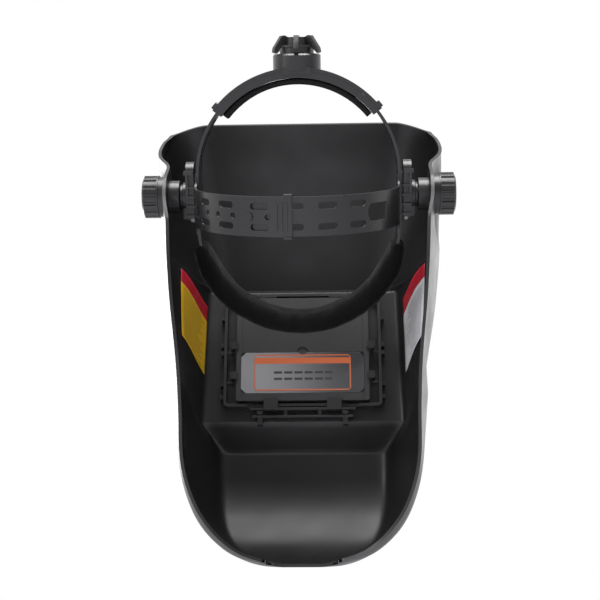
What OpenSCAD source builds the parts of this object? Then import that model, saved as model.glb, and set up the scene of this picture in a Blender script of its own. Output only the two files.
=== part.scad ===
// Welding helmet with a self-darkening filter and an adjustable headgear.
// The origin is the middle of the pivot axis, where the headgear carries the shell.
// +X is the helmet's right as seen from behind, +Y is forward through the window, +Z is up.
// The headgear hangs back to front on its pivots, with the crown strap behind the shell.

/* [Shell] */
// Thickness of the shell's wall
wall = 2.5; // [2.2:0.1:3]
// Distance from the middle to the inside of the flat pivot faces
pivot_x = 101; // [100.8:0.1:101.2]
// Half-width of the window opening in the shell
window_x = 50; // [44:1:50]
// Length of one warning label along the side wall, as a share of the wall
label_share = 0.96; // [0.7:0.02:1]

/* [Filter] */
// Width of the filter cartridge
cartridge_w = 110; // [106:1:110]
// Height of the filter cartridge
cartridge_h = 90; // [86:1:90]
// Width of the frame that holds the cartridge
frame_w = 131; // [128:1:134]
// Height of the frame that holds the cartridge
frame_h = 99; // [98:1:100]
// Travel of the lock bar
lock_travel = 4; // [3:0.5:4]

/* [Headgear] */
// Swing of the headgear about the pivots, measured from the forward direction
gear_tilt = 122; // [116:1:126]
// Radius of the headband's front and rear arcs
ring_r = 77.5; // [77:0.1:77.8]
// Width of the headband and of its side plates
band_w = 28; // [26:0.5:28]
// Thickness of the headband
band_t = 2.2; // [1.8:0.1:2.4]
// Thickness of each half of the crown strap
strap_t = 1.6; // [1.4:0.1:1.7]
// Width of the crown strap
strap_w = 28.6; // [27:0.2:29]
// Thickness of the foam sweatband
sweat_t = 17; // [14:0.5:17]

/* [Knobs] */
// Radius of the tension knobs' grips
knob_r = 16.5; // [15:0.5:17]
// Number of grooves round each grip
knob_flutes = 16; // [12:1:20]
// Radius of the ratchet knob over its wings
ratchet_r = 20.4; // [19:0.2:21]
// Number of wings on the ratchet knob
ratchet_wings = 6; // [5:1:7]

/* [Hidden] */
$fn = 64;

black = [0.055, 0.055, 0.06];
dark = [0.1, 0.1, 0.11];
gap = 0.3;
// Inset of a piece where it runs into a neighbour it is moulded with
fuse = 0.05;

// ---------- Shell: stations of half a cross-section, from the brow to the chin ----------
// Each station is a row of the wall's inside: height at the rim, depth and height at the
// middle, half-width of the flat front, then the shoulder, the widest point and the rim,
// each as half-width and depth.
brow = [
    [77, 45, 87.5, 80, 96, 43, 104, 38.5, 107, 35],
    [50, 74, 64, 76, 103, 60, 112, 38, 112.4, 20],
    [23, 98, 33, 70, 103.5, 78, 112, 36, 105, -5],
    [4.5, 113, 6, 66, 102.5, 84, 111, 34, 100, -22],
    [-15, 123, -15, 63, 101, 84, 109.5, 30, 98, -26],
    [-31, 128, -31, 62, 99, 80, 108, 27, 97, -28]
];
visor = [
    [-34, 116, -35, 79, 93.5, 62, 107.5, 24, 96.8, -28],
    [-62, 116, -65, 80, 92.5, 57, 104.5, 20, 95.2, -26],
    [-92, 116, -95, 81, 91.5, 55, 100.5, 18, 93, -18],
    [-116, 116, -125, 82, 90.5, 56, 96, 18, 90.6, -9],
    [-130, 116, -152, 83, 90, 58, 93, 22, 89.3, -3]
];
chin = [
    [-143, 138, -171, 65, 90, 82, 95, 40, 88.5, 4],
    [-168, 138.5, -196, 65, 87, 92, 93, 50, 88, 18],
    [-203, 133, -224, 63, 82, 98, 89.5, 60, 87.5, 36],
    [-231, 122, -246, 56, 73, 97, 80, 70, 79, 54],
    [-251, 109, -260, 44, 59, 92, 65, 74, 64, 66],
    [-263, 97, -268, 30, 43, 86.5, 48, 79, 47, 75],
    [-268, 85, -271, 14, 22, 83.6, 27, 82, 30, 80.5]
];
// Radius round the pivot inside which the wall is flat, and where the flat has faded out
pivot_flat = 22;
pivot_fade = 44;

function hermite(p, q, m, n, u) =
    (2*u*u*u - 3*u*u + 1)*p + (u*u*u - 2*u*u + u)*m
    + (3*u*u - 2*u*u*u)*q + (u*u*u - u*u)*n;
function clamp(v) = max(0, min(1, v));
function smooth(v) = clamp(v)*clamp(v)*(3 - 2*clamp(v));
function unit(v) = v/norm(v);

// A station at place t along a group, on a smooth curve through the group's stations
function station(group, t) =
    let (
        i = max(0, min(floor(t), len(group) - 2)),
        before = group[max(i - 1, 0)],
        after = group[min(i + 2, len(group) - 1)]
    )
    hermite(group[i], group[i + 1], (group[i + 1] - before)/2, (after - group[i])/2, t - i);

// Half-width and depth at place s: 0 middle, 1 end of the flat, 2 shoulder, 3 widest, 4 rim
function section(st, s) =
    let (
        flat_end = [st[3], st[1]],
        shoulder = [st[4], st[5]],
        widest = [st[6], st[7]],
        rim = [st[8], st[9]],
        turn = (widest - flat_end)/2
    )
    s <= 1 ? [st[3]*s, st[1]]
    : s <= 2 ? hermite(flat_end, shoulder, [1.2*(shoulder.x - flat_end.x), 0], turn, s - 1)
    : s <= 3 ? hermite(shoulder, widest, turn, [0, -norm(widest - shoulder)], s - 2)
    : hermite(widest, rim, [0, -norm(rim - widest)], rim - widest, s - 3);

// A point of the wall's inside on the station st; a negative s is on the left
function wall_point(st, s) =
    let (
        p = section(st, abs(s)),
        z = st[0] + (st[2] - st[0])*clamp((p.y - st[9])/(st[1] - st[9])),
        level = smooth((pivot_fade - norm([p.y, z]))/(pivot_fade - pivot_flat)),
        x = p.x + (abs(s) > 2 ? (pivot_x - p.x)*level : 0)
    )
    [s < 0 ? -x : x, p.y, z];

// Where the brow's edge turns into the side's edge, and how fast it falls towards that corner
corner_s = 3.2;
corner_t = 0.8;
corner_round = 0.3;
edge_fall = 0.16;

// Grid point of the brow, with its two upper corners drawn in to a round
function brow_point(t, s) =
    let (
        a = max(0, (abs(s) - corner_s)/(4 - corner_s)),
        b = max(0, 1 - t/corner_t),
        inside = a > 0 && b > 0,
        s1 = inside ? corner_s + (4 - corner_s)*a*sqrt(1 - corner_round*b*b) : abs(s),
        t1 = inside ? corner_t*(1 - b*sqrt(1 - corner_round*a*a)) : t,
        t2 = t1 + max(0, 1 - t1)*edge_fall*max(0, s1 - 1)
    )
    wall_point(station(brow, t2), s < 0 ? -s1 : s1);

function spread(group, steps) =
    [for (i = [0 : (len(group) - 1)*steps]) station(group, i/steps)];
half_columns = [
    0, 1/3, 2/3, 0.94,
    for (i = [0 : 4]) 1 + i/5,
    for (i = [0 : 3]) 2 + i/4,
    for (i = [0 : 6]) 3 + i/6
];
columns = concat(
    [for (i = [len(half_columns) - 1 : -1 : 1]) -half_columns[i]],
    half_columns
);
// Rows close to both ends of the visor keep its front flat up to the turn
visor_rows = [for (t = [0, 0.1, 0.5, 1, 1.5, 2, 2.5, 3, 3.5, 3.9, 4]) station(visor, t)];
rows = concat(visor_rows, spread(chin, 2));
brow_places = [0, 0.2, 0.4, 0.6, 0.8, for (i = [2 : (len(brow) - 1)*2]) i/2];
shell_grid = concat(
    [for (t = brow_places) [for (s = columns) brow_point(t, s)]],
    [for (st = rows) [for (s = columns) wall_point(st, s)]]
);

// Outward direction of a grid of points at row i, column j
function grid_normal(g, i, j) =
    unit(cross(
        g[i][min(j + 1, len(g[i]) - 1)] - g[i][max(j - 1, 0)],
        g[min(i + 1, len(g) - 1)][j] - g[max(i - 1, 0)][j]
    ));
// A closed sheet between the grid lifted by low and by high along its normals
module sheet(g, low, high) {
    nr = len(g);
    nc = len(g[0]);
    n = nr*nc;
    inner = [for (i = [0 : nr - 1]) for (j = [0 : nc - 1]) g[i][j] + low*grid_normal(g, i, j)];
    outer = [for (i = [0 : nr - 1]) for (j = [0 : nc - 1]) g[i][j] + high*grid_normal(g, i, j)];
    faces = concat(
        [for (i = [0 : nr - 2]) for (j = [0 : nc - 2]) let (a = i*nc + j) each [
            [a, a + 1, a + nc + 1], [a, a + nc + 1, a + nc],
            [n + a, n + a + nc + 1, n + a + 1], [n + a, n + a + nc, n + a + nc + 1]
        ]],
        [for (j = [0 : nc - 2]) let (a = j, b = (nr - 1)*nc + j) each [
            [a, n + a, n + a + 1], [a, n + a + 1, a + 1],
            [b, b + 1, n + b + 1], [b, n + b + 1, n + b]
        ]],
        [for (i = [0 : nr - 2]) let (a = i*nc, b = i*nc + nc - 1) each [
            [n + a, a, a + nc], [n + a, a + nc, n + a + nc],
            [b, n + b, n + b + nc], [b, n + b + nc, b + nc]
        ]]
    );
    polyhedron(points = concat(inner, outer), faces = faces, convexity = 6);
}

// ---------- Filter: depths of its layers, from the wearer towards the front ----------
plateau_y = 116;
window_mid_z = -91;
frame_mid_z = -90.5;
frame_rim_y = 106;
frame_floor_y = 114.6;
frame_wall = 2.5;
case_rear_y = 104.6;
case_split_y = 108.9;
case_front_y = 113.4;
view_z = -111.5;
view_w = 102;
view_h = 35;
lens_t = 1;
clip_z = [-88, -114];
lock_half = 43.5;
leg_x = 35;

// ---------- Side stack on each pivot: distances from the middle ----------
plate_out = ring_r + band_t/2;
slider_in = plate_out + 2.1;
slider_out = 87;
bracket_out = 90;
washer_out = 92;
spacer_in = washer_out + gap;
knob_in = pivot_x + wall + gap;
collar_out = knob_in + 4.8;
knob_out = 121;
bolt_head_in = slider_in + 0.8;
bolt_head_out = bolt_head_in + 3;
journal_r = 5;
thread_r = 4;
running = 0.05;
// Travel of the headgear along its side rails, which is two of the rungs' steps
slide_travel = 14.7;
rib_pitch = slide_travel/2;
rib_top_y = 8.2;
// Place of the screw in each bracket's gusset, in the headgear's own frame
screw_x = slider_in + 2.5;
screw_y = -18.2;

// ---------- Headgear in its own frame: Y to the occiput, Z to the crown ----------
front_mid = -22.5;
rear_mid = 16.5;
strap_mid_z = 15;
strap_mid_y = -5.5;
left_strap_r = ring_r + 0.15;
right_strap_r = ring_r - 0.05 - strap_t;
housing_half = 52;
housing_w = 31;
rack_pitch = 3.2;
pinion_teeth = 8;
pinion_r = rack_pitch*pinion_teeth/(2*PI);
rack_y = rear_mid + ring_r;
// Teeth that pass the pinion as each rack travels, and how far beyond it the mesh reaches
rack_travel_teeth = 12;
mesh_teeth = 4;
// Gap between a rack's end and the band's end, which it leaves as it travels
rack_gap_angle = 0.25;
cover_top = rear_mid + ring_r + 4;
turret_top = cover_top + 10;
neck_top = turret_top + 4.8;

module gear() {
    rotate([gear_tilt, 0, 0])
        children();
}
module both_sides() {
    children();
    mirror([1, 0, 0])
        children();
}
module left_side() {
    mirror([1, 0, 0])
        children();
}
// Rod along X from x = a to x = b
module rod_x(r, a, b) {
    translate([a, 0, 0])
        rotate([0, 90, 0])
            cylinder(h = b - a, r = r);
}
// Rod along Y from y = a to y = b
module rod_y(r, a, b) {
    translate([0, a, 0])
        rotate([-90, 0, 0])
            cylinder(h = b - a, r = r);
}
// Box centred in X and Z on (x, z), from y = a to y = b
module slab(x, z, w, h, a, b) {
    translate([x - w/2, a, z - h/2])
        cube([w, b - a, h]);
}
function round_rect(w, h, r, steps = 5) = [
    for (q = [0 : 3]) for (k = [0 : steps])
        let (a = 90*q + 90*k/steps, sx = (q == 0 || q == 3) ? 1 : -1, sy = q < 2 ? 1 : -1)
        [sx*(w/2 - r) + r*cos(a), sy*(h/2 - r) + r*sin(a)]
];
// Slab with rounded corners
module round_slab(x, z, w, h, r, a, b) {
    translate([x, b, z])
        rotate([90, 0, 0])
            linear_extrude(b - a)
                polygon(round_rect(w, h, r));
}
// Part of a ring about the headgear's Z axis, between radii r1 and r2, z = z1 to z2
module ring_arc(mid, r1, r2, z1, z2, a1, a2) {
    translate([0, mid, 0])
        rotate([0, 0, a1])
            rotate_extrude(angle = a2 - a1, $fn = 128)
                translate([r1, z1])
                    square([r2 - r1, z2 - z1]);
}
// Part of the crown strap's half ring, angles from the right base
module strap_arc(r1, r2, w, a1, a2) {
    translate([0, strap_mid_y, strap_mid_z])
        rotate([90, 0, 0])
            rotate([0, 0, a1])
                rotate_extrude(angle = a2 - a1, $fn = 128)
                    translate([r1, -w/2])
                        square([r2 - r1, w]);
}
// Place on the crown strap: X points outward, Y across the strap, Z along it
module on_strap(angle, across = 0) {
    translate([0, strap_mid_y + across, strap_mid_z])
        rotate([0, -angle, 0])
            translate([left_strap_r, 0, 0])
                children();
}

// ---------- Shell and its trim ----------
module shell() {
    color(black)
        difference() {
            sheet(shell_grid, 0, wall);
            both_sides() {
                rod_x(journal_r + running, 90, 115);
                rod_x(17.5, pivot_x + wall, 115);
                rod_x(13.5, 90, pivot_x);
            }
            round_slab(0, window_mid_z, 2*window_x, 74, 6, 110, 130);
        }
}

function label_grid(s_near, s_far, t_top, t_bottom, slant) = [
    for (i = [0 : 6]) [
        for (j = [0 : 8])
            let (u = j/8, t = t_top + (t_bottom - t_top)*i/6 + slant*u)
            wall_point(station(visor, t), s_near + (s_far - s_near)*u*label_share)
    ]
];
module label_left() {
    color("gold")
        sheet(label_grid(-2.25, -1.1, 0.25, 2.2, 0.3), -1.1, -0.7);
}
module label_right() {
    color("whitesmoke")
        mirror([1, 0, 0])
            sheet(label_grid(-2.4, -1.35, 0.25, 2.35, 0.3), -1.1, -0.7);
}

// ---------- Filter frame ----------
module frame_clip(z) {
    translate([0, 0, z]) {
        translate([57.6, frame_rim_y - 3, -3])
            cube([2.2, frame_floor_y - frame_rim_y + 3.2, 6]);
        translate([53.6, frame_rim_y - 3, -3])
            cube([4.2, 1.4, 6]);
        translate([57.6, frame_floor_y - 6, -5.5])
            cube([5.8, 2, 2]);
    }
}
module filter_frame() {
    color(black) {
        difference() {
            round_slab(0, frame_mid_z, frame_w, frame_h, 4, frame_rim_y, plateau_y);
            round_slab(0, frame_mid_z, frame_w - 2*frame_wall, frame_h - 2*frame_wall, 2,
                frame_rim_y - 1, frame_floor_y);
            round_slab(0, window_mid_z, 2*window_x + 2, 76, 6, 110, 120);
            for (x = [-33, 33])
                slab(x, frame_mid_z - frame_h/2 + 1.4, 26, 3, frame_rim_y - 1, frame_rim_y + 3);
            for (x = [-30, 30])
                slab(x, frame_mid_z + frame_h/2 - 1, 16, 3, frame_rim_y - 1, frame_rim_y + 2.5);
        }
        both_sides() {
            for (z = clip_z)
                frame_clip(z);
            for (z = [-62, -86, -93, -120, -131])
                slab(frame_w/2 + 1.4, z, 3, 3.4, plateau_y - 7, plateau_y);
        }
    }
}
module lock_bar() {
    rail_z = frame_mid_z - frame_h/2 - 2.6;
    tab_h = lock_travel + 5.2;
    color(dark) {
        slab(0, rail_z, 2*lock_half, 2, 104, 109);
        slab(0, rail_z - 6.2, 2*lock_half - 4, 2, 105, 110);
        for (x = [-leg_x, -14, 14, leg_x])
            slab(x, rail_z - 3.1, 3, 5, 106, 110);
        for (x = [-leg_x, leg_x])
            slab(x, rail_z - 9.8, 4.2, 6, 106, 112);
        for (x = [-leg_x, leg_x])
            slab(x, rail_z - 2.9, 4.8, 3, 104.4, 106);
        for (x = [-26, 26])
            slab(x, rail_z + tab_h/2, 12, tab_h, 102.9, 104.3);
        for (x = [-26, 26])
            slab(x, rail_z, 12, 2, 102.9, 104);
    }
}
module front_cover_lens() {
    color([0.8, 0.85, 0.85, 0.4])
        round_slab(0, frame_mid_z, cartridge_w, cartridge_h, 1, frame_floor_y - 1.1, frame_floor_y - 0.1);
}

// ---------- Filter cartridge ----------
module cartridge_front_case() {
    color(dark)
        difference() {
            round_slab(0, frame_mid_z, cartridge_w, cartridge_h, 1.5, case_split_y, case_front_y);
            round_slab(0, frame_mid_z, cartridge_w - 3, cartridge_h - 3, 1, case_split_y - 1,
                case_front_y - 1);
            round_slab(0, view_z, 96, 29, 2, 110, 120);
            round_slab(0, -64, 56, 14, 1, 110, 120);
            both_sides()
                translate([38, 0, -64])
                    rod_y(2.6, 110, 120);
        }
}
module cartridge_rear_case() {
    color(dark)
        difference() {
            round_slab(0, frame_mid_z, cartridge_w, cartridge_h, 1.5, case_rear_y, case_split_y);
            round_slab(0, frame_mid_z, cartridge_w - 3, cartridge_h - 3, 1, case_split_y - 2,
                case_split_y + 1);
            round_slab(0, view_z, 96, 29, 2, 100, 110);
            round_slab(0, view_z, view_w + 0.6, view_h + 0.6, 3, 100, case_rear_y + 1.2);
            translate([0, 0, view_z + view_h/2])
                rod_y(5, 100, case_rear_y + 1.2);
            both_sides()
                slab(cartridge_w/2 - 4.6, frame_mid_z, 0.5, cartridge_h + 2, 100, case_rear_y + 0.4);
        }
}
module lcd_shutter() {
    color([0.1, 0.25, 0.2])
        slab(0, view_z, 100, 33, case_split_y - 1.9, case_split_y + 2);
}
module uv_ir_filter() {
    color([0.2, 0.45, 0.3, 0.6])
        slab(0, view_z, 100, 33, case_split_y + 2.1, case_split_y + 3.2);
}
module circuit_board() {
    color("darkgreen")
        slab(0, -70, 98, 40, case_split_y - 1.7, case_split_y - 0.7);
}
module coin_cells() {
    color("silver")
        for (x = [-34, 34])
            translate([x, 0, -78])
                rod_y(10, case_split_y - 0.6, case_split_y + 1.9);
}
module solar_cell() {
    color([0.08, 0.08, 0.2])
        slab(0, -64, 60, 17, case_front_y - 2.1, case_front_y - 1.1);
}
module arc_sensors() {
    color("silver")
        for (x = [-38, 38])
            translate([x, 0, -64])
                rod_y(3, case_front_y - 2.5, case_front_y - 1.1);
}
module inner_cover_lens() {
    corner = 4;
    half = view_w/2;
    color([0.75, 0.78, 0.8, 0.5])
        difference() {
            translate([0, case_rear_y + 0.1 + lens_t, view_z])
                rotate([90, 0, 0])
                    linear_extrude(lens_t)
                        polygon([
                            [-half, corner - view_h/2], [corner - half, -view_h/2],
                            [half - corner, -view_h/2], [half, corner - view_h/2],
                            [half, view_h/2 - corner], [half - corner, view_h/2],
                            [corner - half, view_h/2], [-half, view_h/2 - corner]
                        ]);
            translate([0, 0, view_z + view_h/2 + 2])
                rod_y(4, 100, 110);
        }
}
module lens_film() {
    color("orangered")
        round_slab(0, view_z, 80, 31, 3, case_rear_y - 0.15, case_rear_y + 0.1);
}

// ---------- Pivot stack ----------
module spacer() {
    color(dark)
        difference() {
            rod_x(12.5, spacer_in, pivot_x);
            rod_x(journal_r + running, spacer_in - 1, pivot_x + 1);
        }
}
module spacer_left() {
    left_side()
        spacer();
}
module spacer_right() {
    spacer();
}
module washer() {
    color("dimgray")
        difference() {
            rod_x(9.5, bracket_out, washer_out);
            rod_x(journal_r + running, bracket_out - 1, washer_out + 1);
        }
}
module washer_left() {
    left_side()
        washer();
}
module washer_right() {
    washer();
}
module pivot_bolt() {
    color("silver")
        gear() {
            translate([bolt_head_in, -6, -6])
                cube([3, 12, 12]);
            rod_x(journal_r, bolt_head_out, knob_in + 0.2);
            rod_x(thread_r, knob_in + 0.2, knob_out - 7);
        }
}
module pivot_bolt_left() {
    left_side()
        pivot_bolt();
}
module pivot_bolt_right() {
    pivot_bolt();
}
module bracket() {
    color(dark)
        gear()
            difference() {
                union() {
                    rod_x(11, slider_out, bracket_out);
                    translate([slider_out, -17, -7])
                        cube([bracket_out - slider_out, 17, 14]);
                    translate([0, 0, -1.5])
                        linear_extrude(3)
                            polygon([
                                [slider_out, -13], [bracket_out, -14], [bracket_out, -17],
                                [slider_in + 0.4, -21], [slider_in + 0.4, -16.2],
                                [slider_out, -16.2]
                            ]);
                }
                rod_x(journal_r + running, 80, 95);
                translate([screw_x, screw_y, -3])
                    cylinder(h = 6, r = 1.05);
            }
}
module bracket_left() {
    left_side()
        bracket();
}
module bracket_right() {
    bracket();
}
module slider() {
    color(black)
        gear()
            difference() {
                union() {
                    translate([slider_in, -15.9, -9])
                        cube([slider_out - slider_in, 32.9, 20]);
                    translate([slider_in, 17, 1])
                        rotate([0, 90, 0])
                            cylinder(h = slider_out - slider_in, r = 9.9);
                    translate([slider_in, 17.6, 8])
                        cube([7.6, 3, 5.6]);
                    for (i = [0 : 3])
                        translate([slider_in - 1, rib_top_y - rib_pitch*i - 0.9, 10])
                            cube([6.8, 1.8, 3.4]);
                    translate([slider_out - 2, 0, 0])
                        rotate([90, 0, 90])
                            linear_extrude(1.9)
                                polygon([[-9, 10], [20.5, 10], [20.5, 13.5], [4, 13.5]]);
                }
                translate([bolt_head_in - 0.1, -6.1, -6.1])
                    cube([3.2, 12.2, 12.2]);
                rod_x(journal_r + running, bolt_head_in, 95);
            }
}
module slider_left() {
    left_side()
        slider();
}
module slider_right() {
    slider();
}
module bracket_screws() {
    color("silver")
        both_sides()
            gear()
                translate([screw_x, screw_y, 0]) {
                    translate([0, 0, -3])
                        cylinder(h = 5, r = 1);
                    translate([0, 0, 1.52])
                        cylinder(h = 1.4, r = 1.5);
                }
}
module knob() {
    color(black)
        difference() {
            union() {
                rod_x(knob_r - 0.9, knob_in, collar_out);
                difference() {
                    rod_x(knob_r, collar_out, knob_out - 1.2);
                    for (i = [0 : knob_flutes - 1])
                        rotate([360*i/knob_flutes, 0, 0])
                            translate([0, 0, knob_r + 0.5])
                                rod_x(1.7, collar_out + 1, knob_out);
                }
                translate([knob_out - 1.2, 0, 0])
                    rotate([0, 90, 0])
                        cylinder(h = 1.2, r1 = knob_r - 1.4, r2 = knob_r - 2.8);
            }
            rod_x(6.6, knob_in - 1, knob_out - 4);
            rod_x(11, knob_in + 6, knob_out - 4);
        }
}
module knob_left() {
    left_side()
        knob();
}
module knob_right() {
    knob();
}
module knob_insert() {
    color("goldenrod")
        difference() {
            rod_x(6.55, knob_in + 0.3, knob_out - 4.1);
            rod_x(thread_r + running, knob_in + 3.2, knob_out);
            rod_x(journal_r + running, knob_in, knob_in + 3.2);
        }
}
module knob_insert_left() {
    left_side()
        knob_insert();
}
module knob_insert_right() {
    knob_insert();
}

// ---------- Headband ----------
module headband() {
    in_r = ring_r - band_t/2;
    color(black)
        gear() {
            ring_arc(front_mid, in_r, plate_out, -band_w/2, band_w/2, 180, 360);
            ring_arc(rear_mid, in_r, plate_out, -band_w/2, band_w/2, 0, 90 - housing_half + 2);
            ring_arc(rear_mid, in_r, plate_out, -band_w/2, band_w/2, 88 + housing_half, 180);
            both_sides()
                translate([in_r + fuse, front_mid - 2, fuse - band_w/2])
                    cube([band_t - 2*fuse, rear_mid - front_mid + 4, band_w - 2*fuse]);
        }
}
module side_rail() {
    color(black)
        gear()
            difference() {
                translate([plate_out + 0.02, -20, -9.5])
                    cube([1.6, 38, 19]);
                for (i = [0 : 3])
                    translate([plate_out - 1, rib_top_y - rib_pitch*i - 1, -6])
                        cube([4, 2, 12]);
            }
}
module side_rail_left() {
    left_side()
        side_rail();
}
module side_rail_right() {
    side_rail();
}
// Pair of round-ended slots through the strap, and the small holes between them
slot_r = 2.5;
slot_run = 4.6;
module slot_pair(angle) {
    for (y = [-7.5, 7.5])
        on_strap(angle, y) {
            translate([-5, -slot_r, -slot_run])
                cube([10, 2*slot_r, 2*slot_run]);
            for (z = [-slot_run, slot_run])
                translate([0, 0, z])
                    rod_x(slot_r, -5, 5);
        }
}
module strap_hole(angle) {
    on_strap(angle)
        rod_x(2.2, -5, 5);
}
// Opening with one straight end, which saves weight beside the base
module d_hole(angle, flip) {
    on_strap(angle)
        rotate([flip ? 180 : 0, 0, 0])
            intersection() {
                translate([-5, -6.5, -11])
                    cube([10, 13, 22]);
                union() {
                    translate([0, 0, 2])
                        rod_x(9, -5, 5);
                    translate([-5, -6.5, -11])
                        cube([10, 13, 13]);
                }
            }
}
// Concave web that blends a strap half into the side plate, from x on, t thick
module strap_webs(x, t) {
    r = 9;
    for (flip = [0, 1])
        translate([x + fuse, strap_mid_y, band_w/2 + 0.02])
            mirror([0, flip, 0])
                translate([0, strap_w/2 - 0.7, 0])
                    rotate([90, 0, 90])
                        linear_extrude(t - 2*fuse)
                            polygon(concat([[0, 0]], [
                                for (k = [0 : 8])
                                    [r - r*sin(90*k/8), r - r*cos(90*k/8)]
                            ]));
}
module crown_strap_left() {
    r_out = left_strap_r + strap_t;
    color(black)
        gear() {
            difference() {
                strap_arc(left_strap_r, r_out, strap_w, 92, 180);
                for (a = [19, 40, 59])
                    slot_pair(90 + a);
                for (a = [14.5, 25, 35, 46, 55.5])
                    strap_hole(90 + a);
                d_hole(90 + 75, true);
                translate([0, strap_mid_y, strap_mid_z + r_out])
                    rotate([0, 0, 45])
                        cube([4, 4, 10], center = true);
            }
            translate([fuse - r_out, strap_mid_y - strap_w/2 + fuse, band_w/2 + 0.02])
                cube([strap_t - 2*fuse, strap_w - 2*fuse, strap_mid_z - band_w/2 + 1]);
            strap_webs(-r_out, strap_t);
            for (a = [4.7, 7.2, 9.8])
                on_strap(90 + a)
                    translate([strap_t - 0.1, -10, -0.6])
                        cube([0.8, 20, 1.2]);
            for (y = [-1, 1])
                on_strap(94, y*(strap_w/2 + 0.7))
                    translate([-strap_t - 1.6, -0.8, -3])
                        cube([2*strap_t + 2.6, 1.6, 6]);
            for (y = [-1, 1])
                on_strap(94, y*(strap_w/2 - 0.4))
                    translate([-strap_t - 2.2, -2, -3])
                        cube([1, 4, 6]);
        }
}
module crown_strap_right() {
    color(black)
        gear() {
            difference() {
                strap_arc(right_strap_r, right_strap_r + strap_t, strap_w - 0.4, 0, 122);
                for (a = [55, 73, 91])
                    slot_pair(a);
                d_hole(40, false);
                strap_hole(115);
            }
            translate([right_strap_r + fuse, strap_mid_y - strap_w/2 + 0.2 + fuse, band_w/2 + 0.02])
                cube([strap_t - 2*fuse, strap_w - 0.4 - 2*fuse, strap_mid_z - band_w/2 + 1]);
            strap_webs(right_strap_r, strap_t);
        }
}
module strap_stud() {
    color("silver")
        gear()
            on_strap(115) {
                rod_x(2.1, -2.6, strap_t);
                rod_x(3, strap_t, strap_t + 1);
            }
}
// Round-cornered cross-section of the sweatband, swept along the forehead
module sweat_sweep(inset) {
    translate([0, front_mid, 0])
        rotate([0, 0, 190 - inset*0.4])
            rotate_extrude(angle = 160 + inset*0.8, $fn = 128)
                translate([ring_r + 0.5, 0])
                    polygon(round_rect(sweat_t - 2*inset, band_w + 4 - 2*inset, 6 - inset));
}
module band_slot(extra) {
    ring_arc(front_mid, ring_r - band_t/2 - extra, plate_out + extra, -band_w/2 - extra,
        band_w/2 + extra, 180, 360);
}
module sweatband_foam() {
    color("dimgray")
        gear()
            difference() {
                sweat_sweep(1);
                band_slot(0.1);
            }
}
module sweatband_cover() {
    color(black)
        gear()
            difference() {
                sweat_sweep(0);
                sweat_sweep(1);
            }
}

// ---------- Ratchet ----------
// Toothed strip; side is 1 for the one on the crown side of the pinion, -1 for the other
module rack(side) {
    root = pinion_r + 1.1;
    in_r = ring_r - band_t/2;
    step = rack_pitch/ring_r*180/PI;
    z1 = side > 0 ? root : -root - 4;
    gear() {
        ring_arc(rear_mid, in_r, plate_out, z1, z1 + 4,
            side > 0 ? 80 : 92 - housing_half + rack_gap_angle,
            side > 0 ? 88 + housing_half - rack_gap_angle : 100);
        for (k = [-mesh_teeth : mesh_teeth - 1 + rack_travel_teeth])
            translate([0, rear_mid, 0])
                rotate([0, 0, 90 + side*(k + 0.5)*step])
                    translate([in_r + 0.05, 0, side*(root + 0.1)])
                        rotate([0, 90, 0])
                            linear_extrude(band_t - 0.1)
                                polygon([
                                    [0, -1], [0, 1], [side*1.75, 0.45], [side*1.75, -0.45]
                                ]);
    }
}
module rack_left() {
    color(black)
        rack(1);
}
module rack_right() {
    color(black)
        rack(-1);
}
module housing_arc(r1, r2, z1, z2, trim = 0) {
    ring_arc(rear_mid, r1, r2, z1, z2, 90 - housing_half + trim, 90 + housing_half - trim);
}
module ratchet_base() {
    in_r = ring_r - 4;
    color(dark)
        gear()
            difference() {
                housing_arc(in_r, ring_r + 1.25, -housing_w/2, housing_w/2);
                housing_arc(ring_r - 1.3, ring_r + 2, -band_w/2 - gap, band_w/2 + gap, -1);
                rod_y(4.5, 80, 100);
            }
}
module ratchet_cover() {
    in_r = ring_r + 1.28;
    color(black)
        gear() {
            difference() {
                union() {
                    housing_arc(in_r - 1, ring_r + 4, -housing_w/2, housing_w/2);
                    rod_y(18.2, rack_y - 3, turret_top - 1.2);
                    translate([0, turret_top - 1.2, 0])
                        rotate([-90, 0, 0])
                            cylinder(h = 1.2, r1 = 18.2, r2 = 16.8);
                    for (side = [-1, 1])
                        translate([0, rear_mid, 0])
                            rotate([0, 0, 90 + side*(housing_half - 2.5)])
                                translate([ring_r + 3, -2.5, 4])
                                    cube([2.9, 5, 12]);
                    translate([-11, cover_top - 2.4, housing_w/2 - 0.5])
                        cube([22, 2.2, 1.9]);
                }
                translate([0, rear_mid, -housing_w/2 - 5])
                    cylinder(h = housing_w + 10, r = in_r, $fn = 128);
                rod_y(thread_r + running, 80, 120);
                rod_y(13.3, cover_top + 1, turret_top + 1);
            }
            translate([-10.9, cover_top - 5.5, housing_w/2 + 0.05])
                cube([21.8, 4, 1.25]);
        }
}
module ratchet_pad() {
    color("dimgray")
        gear()
            difference() {
                housing_arc(ring_r - 9, ring_r - 4.1, -13.5, 13.5, 1.5);
                rod_y(4.5, 70, 95);
            }
}
module detent_spring() {
    color("silver")
        gear()
            difference() {
                rod_y(12.6, cover_top + 1, cover_top + 1.3);
                rod_y(4.6, cover_top, cover_top + 2);
                for (i = [0 : 3])
                    rotate([0, 90*i, 0])
                        translate([8.6, 0, 0])
                            rod_y(2, cover_top, cover_top + 2);
            }
}
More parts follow.
